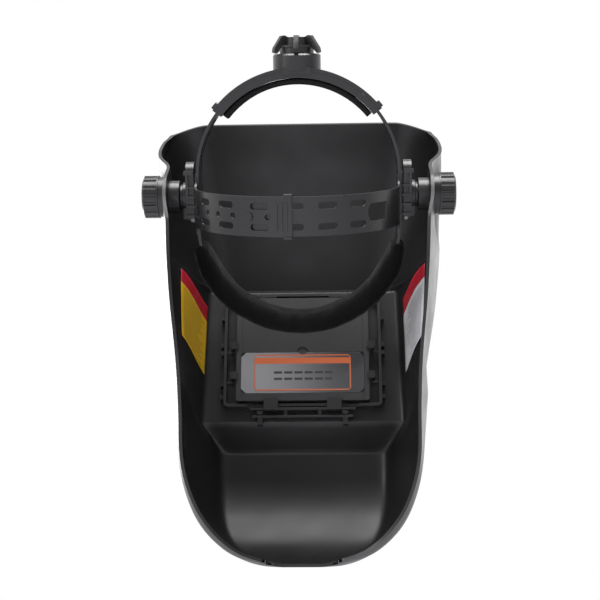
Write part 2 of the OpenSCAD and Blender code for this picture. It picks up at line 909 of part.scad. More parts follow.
module ratchet_knob() {
    color(black)
        gear()
            difference() {
                union() {
                    rod_y(4, rack_y + 1.3, cover_top + 1.7);
                    rod_y(12.9, cover_top + 1.7, neck_top);
                    rod_y(15, neck_top, neck_top + 1.6);
                    rod_y(9.6, neck_top, neck_top + 7.6);
                    for (i = [0 : ratchet_wings - 1])
                        rotate([0, 360*i/ratchet_wings + 30, 0])
                            translate([0, 0, -2])
                                linear_extrude(4)
                                    polygon([
                                        [8, neck_top + 0.4], [14, neck_top - 0.2],
                                        [ratchet_r - 1.6, neck_top - 4.4],
                                        [ratchet_r, neck_top - 3.6],
                                        [ratchet_r - 0.6, neck_top - 0.4],
                                        [13.4, neck_top + 8.6], [11, neck_top + 8.9],
                                        [8, neck_top + 7.4]
                                    ]);
                }
                rod_y(1.55, rack_y - 5, cover_top + 12);
                rod_y(6.4, neck_top + 5.6, neck_top + 9);
            }
}
module ratchet_pinion() {
    color("gainsboro")
        gear()
            difference() {
                union() {
                    rod_y(pinion_r - 1, rack_y - 1, rack_y + 1.2);
                    for (i = [0 : pinion_teeth - 1])
                        rotate([0, 360*i/pinion_teeth, 0])
                            translate([pinion_r - 1.6, rack_y + 0.95, 0])
                                rotate([90, 0, 0])
                                    linear_extrude(1.95)
                                        polygon([[0, -1], [0, 1], [2.3, 0.45], [2.3, -0.45]]);
                }
                rod_y(1.55, 80, 100);
            }
}
module ratchet_screw() {
    color("silver")
        gear() {
            rod_y(1.5, rack_y - 1.1, cover_top + 8);
            rod_y(3.8, rack_y - 3, rack_y - 1.1);
        }
}

shell();
filter_frame();
front_cover_lens();
cartridge_front_case();
cartridge_rear_case();
lcd_shutter();
uv_ir_filter();
circuit_board();
coin_cells();
solar_cell();
arc_sensors();
inner_cover_lens();
lens_film();
lock_bar();
label_left();
label_right();
spacer_left();
spacer_right();
washer_left();
washer_right();
pivot_bolt_left();
pivot_bolt_right();
bracket_left();
bracket_right();
slider_left();
slider_right();
bracket_screws();
knob_left();
knob_right();
knob_insert_left();
knob_insert_right();
headband();
side_rail_left();
side_rail_right();
crown_strap_left();
crown_strap_right();
strap_stud();
sweatband_foam();
sweatband_cover();
rack_left();
rack_right();
ratchet_base();
ratchet_cover();
ratchet_pad();
detent_spring();
ratchet_knob();
ratchet_pinion();
ratchet_screw();
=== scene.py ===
# %% [markdown]
# # A welding helmet, seen from the wearer's side
# The helmet is a thin black shell that hangs on a headgear by two pivots. The frame holds every
# rigid part already. This lesson adds what only a modelling tool does well: the smooth moulded
# shell, the felt sweatband, the foam pad, two printed labels, and a finish for each part.

# %% Load the frame
import math
import bmesh
import bpy
from mathutils import Matrix, Vector, noise


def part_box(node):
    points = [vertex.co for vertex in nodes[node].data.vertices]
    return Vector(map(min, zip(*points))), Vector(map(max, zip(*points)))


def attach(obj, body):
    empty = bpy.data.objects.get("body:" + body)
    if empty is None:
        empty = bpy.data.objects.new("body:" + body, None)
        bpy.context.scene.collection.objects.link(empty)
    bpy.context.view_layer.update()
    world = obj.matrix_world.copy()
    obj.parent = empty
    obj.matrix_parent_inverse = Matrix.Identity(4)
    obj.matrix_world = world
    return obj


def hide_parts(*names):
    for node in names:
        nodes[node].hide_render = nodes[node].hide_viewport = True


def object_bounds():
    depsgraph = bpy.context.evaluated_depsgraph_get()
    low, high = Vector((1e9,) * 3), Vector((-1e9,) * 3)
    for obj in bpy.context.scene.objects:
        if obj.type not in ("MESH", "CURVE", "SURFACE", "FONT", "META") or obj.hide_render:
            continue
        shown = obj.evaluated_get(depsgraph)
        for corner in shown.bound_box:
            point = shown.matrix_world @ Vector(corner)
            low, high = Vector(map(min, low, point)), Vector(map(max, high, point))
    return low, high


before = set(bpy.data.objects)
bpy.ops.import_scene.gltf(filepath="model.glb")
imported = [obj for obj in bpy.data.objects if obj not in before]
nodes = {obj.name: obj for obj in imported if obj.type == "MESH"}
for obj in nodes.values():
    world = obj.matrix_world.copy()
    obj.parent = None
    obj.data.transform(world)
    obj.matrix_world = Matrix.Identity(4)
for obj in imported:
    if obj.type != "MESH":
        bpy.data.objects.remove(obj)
cad_low, cad_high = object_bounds()
MM = 0.001
print("rigid parts:", len(nodes), "box:", [round(v, 3) for v in cad_high - cad_low])

# %% [markdown]
# ## The view and the light
# A black object shows its form only by what it reflects, so the room matters more than the lamps.
# It is white beyond the helmet and overhead and dimmer on the wearer's side, which keeps the
# inside of the shell dark and lets its edges shine. Large soft panels above and to the sides add
# a slow falloff. The camera stands below and behind the helmet and looks up into it.

# %% Camera
camera = bpy.data.objects.new("camera", bpy.data.cameras.new("camera"))
bpy.context.scene.collection.objects.link(camera)
camera.location = (0.025, -0.8436, -0.4111)
camera.rotation_euler = (math.radians(110.98), 0, math.radians(1.64))
camera.data.lens = 72
camera.data.sensor_width = 36
bpy.context.scene.camera = camera
print("camera is", round(camera.location.length, 3), "m from the pivot axis")

# %% Room and panels
WEARER_SIDE = 0.34
SIDE_FADE = (-0.35, 0.35)
TOP_FADE = (0.45, 0.9)
room = bpy.data.worlds.new("room")
room.use_nodes = True
sky = room.node_tree
toward = sky.nodes.new("ShaderNodeTexCoord")
parts = sky.nodes.new("ShaderNodeSeparateXYZ")
beyond = sky.nodes.new("ShaderNodeMapRange")
overhead = sky.nodes.new("ShaderNodeMapRange")
brighter = sky.nodes.new("ShaderNodeMath")
brighter.operation = "MAXIMUM"
for fade, span, dark in ((beyond, SIDE_FADE, WEARER_SIDE), (overhead, TOP_FADE, 0.0)):
    fade.interpolation_type = "SMOOTHSTEP"
    fade.inputs["From Min"].default_value, fade.inputs["From Max"].default_value = span
    fade.inputs["To Min"].default_value = dark
sky.links.new(toward.outputs["Generated"], parts.inputs[0])
sky.links.new(parts.outputs["Y"], beyond.inputs["Value"])
sky.links.new(parts.outputs["Z"], overhead.inputs["Value"])
sky.links.new(beyond.outputs["Result"], brighter.inputs[0])
sky.links.new(overhead.outputs["Result"], brighter.inputs[1])
sky.links.new(brighter.outputs[0], sky.nodes["Background"].inputs["Color"])
bpy.context.scene.world = room
bpy.context.scene.view_settings.view_transform = "Standard"


def panel(name, place, target, size, watts):
    """A soft square light at place that faces target."""
    data = bpy.data.lights.new(name, "AREA")
    data.energy = watts
    data.size = size
    lamp = bpy.data.objects.new(name, data)
    lamp.location = place
    lamp.rotation_euler = (Vector(target) - Vector(place)).to_track_quat("-Z", "Y").to_euler()
    bpy.context.scene.collection.objects.link(lamp)
    return lamp


panels = [
    panel("panel_overhead", (0.0, -0.5, 1.0), (0, 0.0, -0.1), 0.8, 22),
    panel("panel_beyond_left", (-0.85, 1.05, 0.25), (-0.1, 0, -0.1), 0.6, 8),
    panel("panel_beyond_right", (0.85, 1.05, 0.25), (0.1, 0, -0.1), 0.6, 2),
    panel("panel_wearer", (-0.9, -0.75, 0.15), (0, 0, -0.05), 0.6, 6),
]
print("soft panels:", len(panels))

# %% Floor
FLOOR_DROP = 0.48
floor_mesh = bpy.data.meshes.new("floor")
bm = bmesh.new()
bmesh.ops.create_grid(bm, x_segments=1, y_segments=1, size=6)
bmesh.ops.translate(bm, verts=bm.verts, vec=(0, 0, cad_low.z - FLOOR_DROP))
bm.to_mesh(floor_mesh)
bm.free()
floor = bpy.data.objects.new("floor", floor_mesh)
bpy.context.scene.collection.objects.link(floor)
print("floor height:", round(cad_low.z - FLOOR_DROP, 3))

# %% [markdown]
# ## Helpers for new pieces
# A new piece is a bmesh that becomes a mesh, rides on one of the rigid bodies, and names the
# finish it takes. Modifiers that must be final, such as a simulation, are baked into the mesh.


# %% Make, bake and dress
def make_piece(bm, name, body):
    """Turns a bmesh into a smooth-shaded piece that rides on a body."""
    mesh = bpy.data.meshes.new(name)
    bm.to_mesh(mesh)
    bm.free()
    mesh.polygons.foreach_set("use_smooth", [True] * len(mesh.polygons))
    piece = bpy.data.objects.new(name, mesh)
    bpy.context.scene.collection.objects.link(piece)
    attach(piece, body)
    return piece


def bake(piece):
    """Keeps what the piece's modifiers make, and removes the modifiers."""
    bpy.context.view_layer.update()
    graph = bpy.context.evaluated_depsgraph_get()
    result = bpy.data.meshes.new_from_object(piece.evaluated_get(graph))
    piece.modifiers.clear()
    piece.data = result
    return piece


def dress(obj, material):
    """Gives the whole of an object one material."""
    if not obj.material_slots:
        obj.data.materials.append(material)
    for place in obj.material_slots:
        place.material = material


# %% [markdown]
# ## Nodes for the finishes
# Every finish is a Principled shader with patterns on Object coordinates, which lie still on the
# part as it moves. A pattern drives the colour, the roughness and a bump, and a number that is
# the same all over goes straight on the shader.


# %% Node helpers
def start_material(name, **values):
    """A new material, its node tree and its shader, with plain values on the shader."""
    material = bpy.data.materials.new(name)
    material.use_nodes = True
    shader = material.node_tree.nodes["Principled BSDF"]
    for key, value in values.items():
        shader.inputs[key.replace("_", " ")].default_value = value
    return material, material.node_tree, shader


def add_node(tree, kind, inputs=None, **settings):
    """A node with its settings, and inputs that are numbers or other nodes' outputs."""
    node = tree.nodes.new(kind)
    for key, value in settings.items():
        setattr(node, key, value)
    for key, value in (inputs or {}).items():
        if isinstance(value, bpy.types.NodeSocket):
            tree.links.new(value, node.inputs[key])
        else:
            node.inputs[key].default_value = value
    return node


def calc(tree, operation, a, b=0.0, c=0.0):
    """The output of one Math node."""
    return add_node(tree, "ShaderNodeMath", {0: a, 1: b, 2: c}, operation=operation).outputs[0]


def mixed(tree, share, low, high):
    """A colour that goes from low to high as share goes from 0 to 1."""
    node = add_node(tree, "ShaderNodeMix", {0: share, 6: low, 7: high}, data_type="RGBA")
    return node.outputs[2]


def object_place(tree):
    return add_node(tree, "ShaderNodeTexCoord").outputs["Object"]


def speckle(tree, place, scale, detail=4.0, rough=0.55):
    """Soft noise from 0 to 1."""
    values = {"Vector": place, "Scale": scale, "Detail": detail, "Roughness": rough}
    return add_node(tree, "ShaderNodeTexNoise", values).outputs["Fac"]


def spread_to(tree, value, low, high):
    """Noise values, which lie mostly from 0.3 to 0.7, spread from low to high."""
    values = {"Value": value, "From Min": 0.3, "From Max": 0.7, "To Min": low, "To Max": high}
    return add_node(tree, "ShaderNodeMapRange", values).outputs["Result"]


def grey(level, tint=0.0):
    return (level, level, level * (1 + tint), 1)


# %% [markdown]
# ## Moulded plastic
# The helmet's plastics are all black nylon, and differ in sheen. A mould leaves a fine grain,
# and handling leaves faint patches of gloss. So the finish has a grain bump, slow patches in the
# roughness, and a slow change of tone that keeps a wide black wall from looking painted.


# %% Moulded plastic
def moulded(name, tone, gloss, grain_size=0.0006, grain_depth=0.00002, patch=0.05, drift=0.2):
    """Satin plastic: gloss is the mean roughness, patch and drift how far gloss and tone wander."""
    material, tree, shader = start_material(name)
    place = object_place(tree)
    slow = speckle(tree, place, 18.0, 3.0)
    fine = speckle(tree, place, 1 / grain_size, 2.0)
    colour = mixed(tree, slow, grey(tone * (1 - drift), 0.04), grey(tone * (1 + drift), 0.06))
    tree.links.new(colour, shader.inputs["Base Color"])
    tree.links.new(
        spread_to(tree, speckle(tree, place, 45.0, 5.0), gloss - patch, gloss + patch),
        shader.inputs["Roughness"],
    )
    grain = {"Height": fine, "Strength": 0.6, "Distance": grain_depth}
    bump = add_node(tree, "ShaderNodeBump", grain)
    tree.links.new(bump.outputs["Normal"], shader.inputs["Normal"])
    return material


SHELL_BLACK = moulded("shell_black", 0.012, 0.4, 0.0008, 0.000018)
FRAME_BLACK = moulded("frame_black", 0.022, 0.38)
CASE_GREY = moulded("case_grey", 0.034, 0.46, 0.0004, 0.00002)
GEAR_BLACK = moulded("gear_black", 0.02, 0.3, 0.0005, 0.000012)
KNOB_BLACK = moulded("knob_black", 0.017, 0.32, 0.0005, 0.00002)
WHITE_NYLON = moulded("white_nylon", 0.7, 0.4)
print("plastics made")

# %% [markdown]
# ## Metals
# The pivot bolts and screws are zinc plated, with fine brushed lines round the turning axis. The
# knob inserts are turned brass. Stretched noise gives the lines, as a tool leaves them.


# %% Metals
def turned_metal(name, colour, gloss, line_size=0.0003):
    material, tree, shader = start_material(name, Metallic=1.0)
    lines = add_node(
        tree, "ShaderNodeMapping", {"Vector": object_place(tree), "Scale": (1 / line_size, 40, 40)}
    ).outputs["Vector"]
    drawn = speckle(tree, lines, 1.0, 3.0)
    darker = tuple(v * 0.8 for v in colour[:3]) + (1,)
    tree.links.new(mixed(tree, drawn, darker, colour), shader.inputs["Base Color"])
    tree.links.new(spread_to(tree, drawn, gloss - 0.08, gloss + 0.08), shader.inputs["Roughness"])
    bump = add_node(tree, "ShaderNodeBump", {"Height": drawn, "Strength": 0.3, "Distance": 0.00001})
    tree.links.new(bump.outputs["Normal"], shader.inputs["Normal"])
    return material


ZINC = turned_metal("zinc", (0.62, 0.62, 0.63, 1), 0.3)
BRASS = turned_metal("brass", (0.75, 0.56, 0.26, 1), 0.28)
DULL_STEEL = turned_metal("dull_steel", (0.3, 0.3, 0.31, 1), 0.42)
print("metals made")

# %% [markdown]
# ## Soft finishes
# The sweatband is brushed felt over foam: it has no gloss, only a pale bloom at glancing angles
# from its fibres, so it takes sheen. The pad is open foam, whose cells are small pits.


# %% Felt and foam
def felt(name, tone):
    material, tree, shader = start_material(
        name, Roughness=1.0, Sheen_Weight=0.12, Sheen_Roughness=0.4, Specular_IOR_Level=0.1
    )
    place = object_place(tree)
    tuft = speckle(tree, place, 420.0, 6.0, 0.7)
    cloud = speckle(tree, place, 60.0, 4.0)
    shade = calc(tree, "MULTIPLY", tuft, cloud)
    colour = mixed(tree, shade, grey(tone * 0.5), grey(tone * 2.2))
    tree.links.new(colour, shader.inputs["Base Color"])
    height = calc(tree, "MULTIPLY_ADD", cloud, 0.6, tuft)
    bump = add_node(tree, "ShaderNodeBump", {"Height": height, "Strength": 0.9, "Distance": 0.0006})
    tree.links.new(bump.outputs["Normal"], shader.inputs["Normal"])
    return material


def open_foam(name, tone):
    material, tree, shader = start_material(name, Roughness=0.95, Specular_IOR_Level=0.2)
    place = object_place(tree)
    cells = add_node(tree, "ShaderNodeTexVoronoi", {"Vector": place, "Scale": 1100.0})
    pit_depth_and_painted_shade = cells.outputs["Distance"]
    # Painted shade: the colour darkens where the bump makes the foam's cells deepest.
    colour = mixed(tree, pit_depth_and_painted_shade, grey(tone * 1.6), grey(tone * 0.5))
    tree.links.new(colour, shader.inputs["Base Color"])
    bump = add_node(tree, "ShaderNodeBump", {"Height": pit_depth_and_painted_shade, "Strength": 0.8, "Distance": 0.0004})
    bump.invert = True
    tree.links.new(bump.outputs["Normal"], shader.inputs["Normal"])
    return material


FELT = felt("felt", 0.0065)
FOAM = open_foam("foam", 0.012)
print("soft finishes made")

# %% [markdown]
# ## Layers of the filter
# The filter is a stack: a clear cover, a coated glass, a liquid crystal shutter, and a board with
# cells behind a rear cover lens. The coatings tint the reflection, and handling leaves a haze on
# the clear plastic. The shutter and the coating are dark, so their colour wanders only a little.


# %% Filter layers
def filter_layer(name, low, high, gloss, **values):
    """A smooth layer whose colour drifts from low to high, with a faint smear in its gloss."""
    material, tree, shader = start_material(name, **values)
    place = object_place(tree)
    tree.links.new(mixed(tree, speckle(tree, place, 30.0), low, high), shader.inputs["Base Color"])
    smear = speckle(tree, place, 80.0, 6.0, 0.7)
    tree.links.new(spread_to(tree, smear, gloss, gloss + 0.06), shader.inputs["Roughness"])
    return material


CLEAR = filter_layer("clear_cover", (0.6, 0.64, 0.66, 1), (0.7, 0.74, 0.76, 1), 0.06, Alpha=0.35)
SHUTTER = filter_layer("shutter", (0.01, 0.03, 0.02, 1), (0.02, 0.05, 0.035, 1), 0.05)
COATED = filter_layer(
    "coated_glass", (0.05, 0.14, 0.07, 1), (0.08, 0.2, 0.14, 1), 0.04, Metallic=0.7
)
SOLAR = filter_layer("solar_cell", (0.01, 0.01, 0.035, 1), (0.02, 0.02, 0.07, 1), 0.12)
BOARD = filter_layer("board", (0.01, 0.08, 0.03, 1), (0.02, 0.14, 0.05, 1), 0.4)
print("filter finishes made")

# %% [markdown]
# ## Cover lens and film
# A protective film with an orange border and a header bar covers most of the rear lens. Plain
# bars stand where the real film has words. Lens and film carry a painted reflection, light grey
# at one end and fading to dark at the other.


# %% Cover lens and film
def near(tree, value, centre, reach):
    """1 where value is within reach of centre, and 0 elsewhere."""
    return calc(tree, "COMPARE", value, centre, reach)


def axis_values(tree, place):
    split = add_node(tree, "ShaderNodeSeparateXYZ", {0: place})
    return split.outputs["X"], split.outputs["Z"]


film_low, film_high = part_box("lens_film")
film_mid = (film_low + film_high) / 2
film_half = (film_high - film_low) / 2


def painted_reflection_share(tree, x):
    """Share of painted reflection along the lens, full at one end and thin at the other."""
    values = {
        "Value": x, "From Min": film_low.x, "From Max": film_high.x, "To Min": 1.0, "To Max": 0.12,
    }
    node = add_node(tree, "ShaderNodeMapRange", values, interpolation_type="SMOOTHSTEP")
    return node.outputs["Result"]


def lens_with_painted_reflection(name):
    material, tree, shader = start_material(name, Coat_Weight=0.6, Coat_Roughness=0.04)
    place = object_place(tree)
    x, _ = axis_values(tree, place)
    # Painted reflection: the lens is light grey at one end and dark at the other.
    colour = mixed(tree, painted_reflection_share(tree, x), grey(0.03, 0.1), grey(0.26, 0.05))
    tree.links.new(colour, shader.inputs["Base Color"])
    smear = speckle(tree, place, 90.0, 6.0)
    tree.links.new(spread_to(tree, smear, 0.16, 0.28), shader.inputs["Roughness"])
    return material


BORDER_WIDE = 0.0011
HEADER_HALF = 0.0026
BAR_HALF = 0.0010
BAR_DROP = 0.0055
BARS_PER_METRE = 118.0


def border_along(tree, value, middle, half):
    """1 in the film's border on both sides of its middle."""
    distance = calc(tree, "ABSOLUTE", calc(tree, "SUBTRACT", value, middle))
    return near(tree, distance, half, BORDER_WIDE)


def printed_film(name):
    material, tree, shader = start_material(name, Coat_Weight=0.8, Coat_Roughness=0.05)
    place = object_place(tree)
    x, z = axis_values(tree, place)
    border_x = border_along(tree, x, film_mid.x, film_half.x)
    border_z = border_along(tree, z, film_mid.z, film_half.z)
    border = calc(tree, "MAXIMUM", border_x, border_z)
    header = near(tree, z, film_mid.z + film_half.z * 0.66, HEADER_HALF)
    print_ink = calc(tree, "MAXIMUM", border, header)
    upper_row = near(tree, z, film_mid.z, BAR_HALF)
    lower_row = near(tree, z, film_mid.z - BAR_DROP, BAR_HALF)
    rows = calc(tree, "MAXIMUM", upper_row, lower_row)
    along = calc(tree, "FRACT", calc(tree, "MULTIPLY", x, BARS_PER_METRE))
    words = calc(tree, "GREATER_THAN", along, 0.2)
    line = near(tree, x, film_mid.x, film_half.x * 0.62)
    bars = calc(tree, "MULTIPLY", calc(tree, "MULTIPLY", rows, words), line)
    # The film's ground carries the same painted reflection: light grey at one end, dark at the
    # other.
    ground = mixed(tree, painted_reflection_share(tree, x), grey(0.045, 0.1), grey(0.3, 0.04))
    inked = mixed(tree, print_ink, ground, (0.62, 0.16, 0.07, 1))
    tree.links.new(mixed(tree, bars, inked, grey(0.06)), shader.inputs["Base Color"])
    smear = speckle(tree, place, 90.0, 6.0)
    tree.links.new(spread_to(tree, smear, 0.14, 0.26), shader.inputs["Roughness"])
    return material


REAR_LENS = lens_with_painted_reflection("rear_lens")
FILM = printed_film("film")
print("film is", [round(v * 1000, 1) for v in film_half * 2], "mm")

# %% [markdown]
# ## Softened edges on the rigid parts
# A moulded edge is never sharp, and its small round catches the light as a bright line. The frame's
# meshes are loose triangles, so each is welded first, then its edges get a small round where
# two faces meet at a clear angle, and the normals are weighted so that flat faces stay flat.

# %% Soften and dress the rigid parts
EDGE_ANGLE = math.radians(38)


def soften(node, width, steps=2):
    """A small round on every clear edge of a rigid part."""
    obj = nodes[node]
    obj.data.polygons.foreach_set("use_smooth", [True] * len(obj.data.polygons))
    weld = obj.modifiers.new("weld", "WELD")
    weld.merge_threshold = 0.00001
    edge = obj.modifiers.new("edge", "BEVEL")
    edge.width = width
    edge.segments = steps
    edge.limit_method = "ANGLE"
    edge.angle_limit = EDGE_ANGLE
    edge.use_clamp_overlap = True
    normals = obj.modifiers.new("normals", "WEIGHTED_NORMAL")
    normals.keep_sharp = False


FINISH = {
    "filter_frame": (FRAME_BLACK, 0.3), "lock_bar": (FRAME_BLACK, 0.25),
    "cartridge_front_case": (CASE_GREY, 0.2), "cartridge_rear_case": (CASE_GREY, 0.15),
    "front_cover_lens": (CLEAR, 0.1), "lcd_shutter": (SHUTTER, 0.1), "uv_ir_filter": (COATED, 0.1),
    "circuit_board": (BOARD, 0.1), "coin_cells": (ZINC, 0.2), "solar_cell": (SOLAR, 0.1),
    "arc_sensors": (ZINC, 0.1), "inner_cover_lens": (REAR_LENS, 0.12), "lens_film": (FILM, 0.02),
    "headband": (GEAR_BLACK, 0.45), "strap_stud": (GEAR_BLACK, 0.4),
    "bracket_screws": (DULL_STEEL, 0.3), "ratchet_base": (GEAR_BLACK, 0.12),
    "ratchet_cover": (GEAR_BLACK, 0.5), "detent_spring": (ZINC, 0.05),
    "ratchet_knob": (KNOB_BLACK, 0.5), "ratchet_pinion": (WHITE_NYLON, 0.1),
    "ratchet_screw": (ZINC, 0.2),
}
PAIRS = {
    "spacer": (GEAR_BLACK, 0.4), "washer": (GEAR_BLACK, 0.3), "pivot_bolt": (ZINC, 0.3),
    "bracket": (GEAR_BLACK, 0.35), "slider": (GEAR_BLACK, 0.4), "knob": (KNOB_BLACK, 0.5),
    "knob_insert": (BRASS, 0.2), "side_rail": (GEAR_BLACK, 0.3), "crown_strap": (GEAR_BLACK, 0.35),
    "rack": (GEAR_BLACK, 0.15),
}
for stem, finish in PAIRS.items():
    FINISH[stem + "_left"] = finish
    FINISH[stem + "_right"] = finish
for name, (material, width) in FINISH.items():
    soften(name, width * MM)
    dress(nodes[name], material)
print("dressed", len(FINISH), "rigid parts")

# %% [markdown]
# ## The shell's wall as a rule
# The shell is lofted through half cross-sections, from the brow over the flat round the window
# to the chin. Each station is a row in millimetres: height at the rim, depth and height at
# the middle, half-width of the flat front, then the shoulder, the widest point and the rim.

# %% Stations of the wall
BROW = (
    (77, 45, 87.5, 80, 96, 43, 104, 38.5, 107, 35),
    (50, 74, 64, 76, 103, 60, 112, 38, 112.4, 20),
    (23, 98, 33, 70, 103.5, 78, 112, 36, 105, -5),
    (4.5, 113, 6, 66, 102.5, 84, 111, 34, 100, -22),
    (-15, 123, -15, 63, 101, 84, 109.5, 30, 98, -26),
    (-31, 128, -31, 62, 99, 80, 108, 27, 97, -28),
)
VISOR = (
    (-34, 116, -35, 79, 93.5, 62, 107.5, 24, 96.8, -28),
    (-62, 116, -65, 80, 92.5, 57, 104.5, 20, 95.2, -26),
    (-92, 116, -95, 81, 91.5, 55, 100.5, 18, 93, -18),
    (-116, 116, -125, 82, 90.5, 56, 96, 18, 90.6, -9),
    (-130, 116, -152, 83, 90, 58, 93, 22, 89.3, -3),
)
CHIN = (
    (-143, 138, -171, 65, 90, 82, 95, 40, 88.5, 4),
    (-168, 138.5, -196, 65, 87, 92, 93, 50, 88, 18),
    (-203, 133, -224, 63, 82, 98, 89.5, 60, 87.5, 36),
    (-231, 122, -246, 56, 73, 97, 80, 70, 79, 54),
    (-251, 109, -260, 44, 59, 92, 65, 74, 64, 66),
    (-263, 97, -268, 30, 43, 86.5, 48, 79, 47, 75),
    (-268, 85, -271, 14, 22, 83.6, 27, 82, 30, 80.5),
)
WALL = 2.5 * MM
PIVOT_X = 101
PIVOT_FLAT = 22
PIVOT_FADE = 44


def curve(p, q, m, n, u):
    """A smooth curve from p to q that leaves along m and arrives along n."""
    return (
        (2 * u**3 - 3 * u**2 + 1) * p + (u**3 - 2 * u**2 + u) * m
        + (3 * u**2 - 2 * u**3) * q + (u**3 - u**2) * n
    )


def clamp(v):
    return max(0.0, min(1.0, v))


def station(group, t):
    """A station at place t along a group, between the two it lies nearest."""
    i = max(0, min(int(t), len(group) - 2))
    before = group[max(i - 1, 0)]
    after = group[min(i + 2, len(group) - 1)]
    return [
        curve(p, q, (q - b) / 2, (a - p) / 2, t - i)
        for p, q, b, a in zip(group[i], group[i + 1], before, after)
    ]


# %% A point of the wall
def section(st, s):
    """Half-width and depth at place s: 0 middle, 1 end of the flat, 2 shoulder, 3 widest, 4 rim."""
    flat_end = Vector((st[3], st[1]))
    shoulder = Vector((st[4], st[5]))
    widest = Vector((st[6], st[7]))
    rim = Vector((st[8], st[9]))
    turn = (widest - flat_end) / 2
    if s <= 1:
        return Vector((st[3] * s, st[1]))
    if s <= 2:
        return curve(flat_end, shoulder, Vector((1.2 * (shoulder.x - flat_end.x), 0)), turn, s - 1)
    if s <= 3:
        return curve(shoulder, widest, turn, Vector((0, -(widest - shoulder).length)), s - 2)
    return curve(widest, rim, Vector((0, -(rim - widest).length)), rim - widest, s - 3)


def wall_point(st, s):
    """A point of the wall's inside, in metres; a negative s is on the left."""
    p = section(st, abs(s))
    z = st[0] + (st[2] - st[0]) * clamp((p.y - st[9]) / (st[1] - st[9]))
    x = p.x
    if abs(s) > 2:
        level = clamp((PIVOT_FADE - math.hypot(p.y, z)) / (PIVOT_FADE - PIVOT_FLAT))
        x += (PIVOT_X - x) * level * level * (3 - 2 * level)
    return Vector((math.copysign(x, s) if s else 0.0, p.y, z)) * MM


print("rim to rim at the brow:", round(2000 * wall_point(BROW[0], 4).x, 1), "mm")

# %% [markdown]
# ## The shell
# One grid of faces is laid on the rule, with rows close together where the wall turns sharply
# into the flat round the window. A subdivision rounds those turns as a mould does. The wall then
# gets its thickness outwards, and the window and the pivot holes are cut through both faces.

# %% Grid on the rule
ROWS_EACH = 4
CREASE = 0.1
CORNER_S = 3.2
CORNER_T = 0.8
CORNER_ROUND = 0.3
EDGE_FALL = 0.16


def places_along(group):
    """Places along a group of stations, with one more close to each end."""
    count = (len(group) - 1) * ROWS_EACH
    even = [i / ROWS_EACH for i in range(count + 1)]
    return sorted(even + [CREASE, len(group) - 1 - CREASE])


def places_across():
    half = [i / 6 for i in range(6)] + [1 + i / 6 for i in range(6)]
    half += [2 + i / 6 for i in range(6)] + [3 + i / 8 for i in range(9)]
    return [-s for s in half[:0:-1]] + half


def grid_point(group, t, s):
    """A point of the grid, with the brow's two upper corners drawn in to a round."""
    if group is BROW:
        a = max(0.0, (abs(s) - CORNER_S) / (4 - CORNER_S))
        b = max(0.0, 1 - t / CORNER_T)
        if a * b > 0:
            drawn = (4 - CORNER_S) * a * math.sqrt(1 - CORNER_ROUND * b * b)
            s = math.copysign(CORNER_S + drawn, s)
            t = CORNER_T * (1 - b * math.sqrt(1 - CORNER_ROUND * a * a))
        t += max(0.0, 1 - t) * EDGE_FALL * max(0.0, abs(s) - 1)
    return wall_point(station(group, t), s)


rows = [(group, t) for group in (BROW, VISOR, CHIN) for t in places_along(group)]
columns = places_across()
bm = bmesh.new()
bmesh.ops.create_grid(bm, x_segments=len(columns) - 1, y_segments=len(rows) - 1, size=1)
bm.verts.ensure_lookup_table()
grid_places = sorted(bm.verts, key=lambda v: (round(v.co.y, 5), round(v.co.x, 5)))
for k, vert in enumerate(grid_places):
    vert.co = grid_point(*rows[k // len(columns)], columns[k % len(columns)])
bmesh.ops.recalc_face_normals(bm, faces=bm.faces)
middle = min(bm.faces, key=lambda f: (f.calc_center_median() - Vector((0, 0.116, -0.06))).length)
if middle.normal.y < 0:
    bmesh.ops.reverse_faces(bm, faces=bm.faces)
print("shell grid:", len(rows), "rows of", len(columns), "points")

# %% Thickness and openings
shell = make_piece(bm, "moulded_shell", "shell")
smooth = shell.modifiers.new("smooth", "SUBSURF")
smooth.levels = smooth.render_levels = 1
smooth.boundary_smooth = "ALL"
wall = shell.modifiers.new("wall", "SOLIDIFY")
wall.thickness = WALL
wall.offset = 1
wall.use_even_offset = True
bake(shell)

WINDOW = (0.100, 0.030, 0.074)
WINDOW_PLACE = (0, 0.120, -0.091)
CORNER = 0.006
PIVOT_HOLE_R = 0.0053
cutter_bm = bmesh.new()
bmesh.ops.create_cube(cutter_bm, size=1)
bmesh.ops.scale(cutter_bm, verts=cutter_bm.verts, vec=WINDOW)
upright = [e for e in cutter_bm.edges if abs((e.verts[0].co - e.verts[1].co).normalized().y) > 0.9]
bmesh.ops.bevel(
    cutter_bm, geom=upright, offset=CORNER, affect="EDGES", segments=6, profile=0.5, material=-1
)
bmesh.ops.translate(cutter_bm, verts=cutter_bm.verts, vec=WINDOW_PLACE)
for side in (-1, 1):
    bmesh.ops.create_cone(
        cutter_bm, cap_ends=True, segments=64, depth=0.03,
        radius1=PIVOT_HOLE_R, radius2=PIVOT_HOLE_R,
        matrix=Matrix.Translation((side * 0.102, 0, 0)) @ Matrix.Rotation(math.pi / 2, 4, "Y"),
    )
cutter = bpy.data.objects.new("cutter", bpy.data.meshes.new("cutter"))
cutter_bm.to_mesh(cutter.data)
cutter_bm.free()
bpy.context.scene.collection.objects.link(cutter)
cut = shell.modifiers.new("cut", "BOOLEAN")
cut.operation = "DIFFERENCE"
cut.object = cutter
cut.solver = "EXACT"
bake(shell)
bpy.data.objects.remove(cutter)
print("shell faces after cutting:", len(shell.data.polygons))

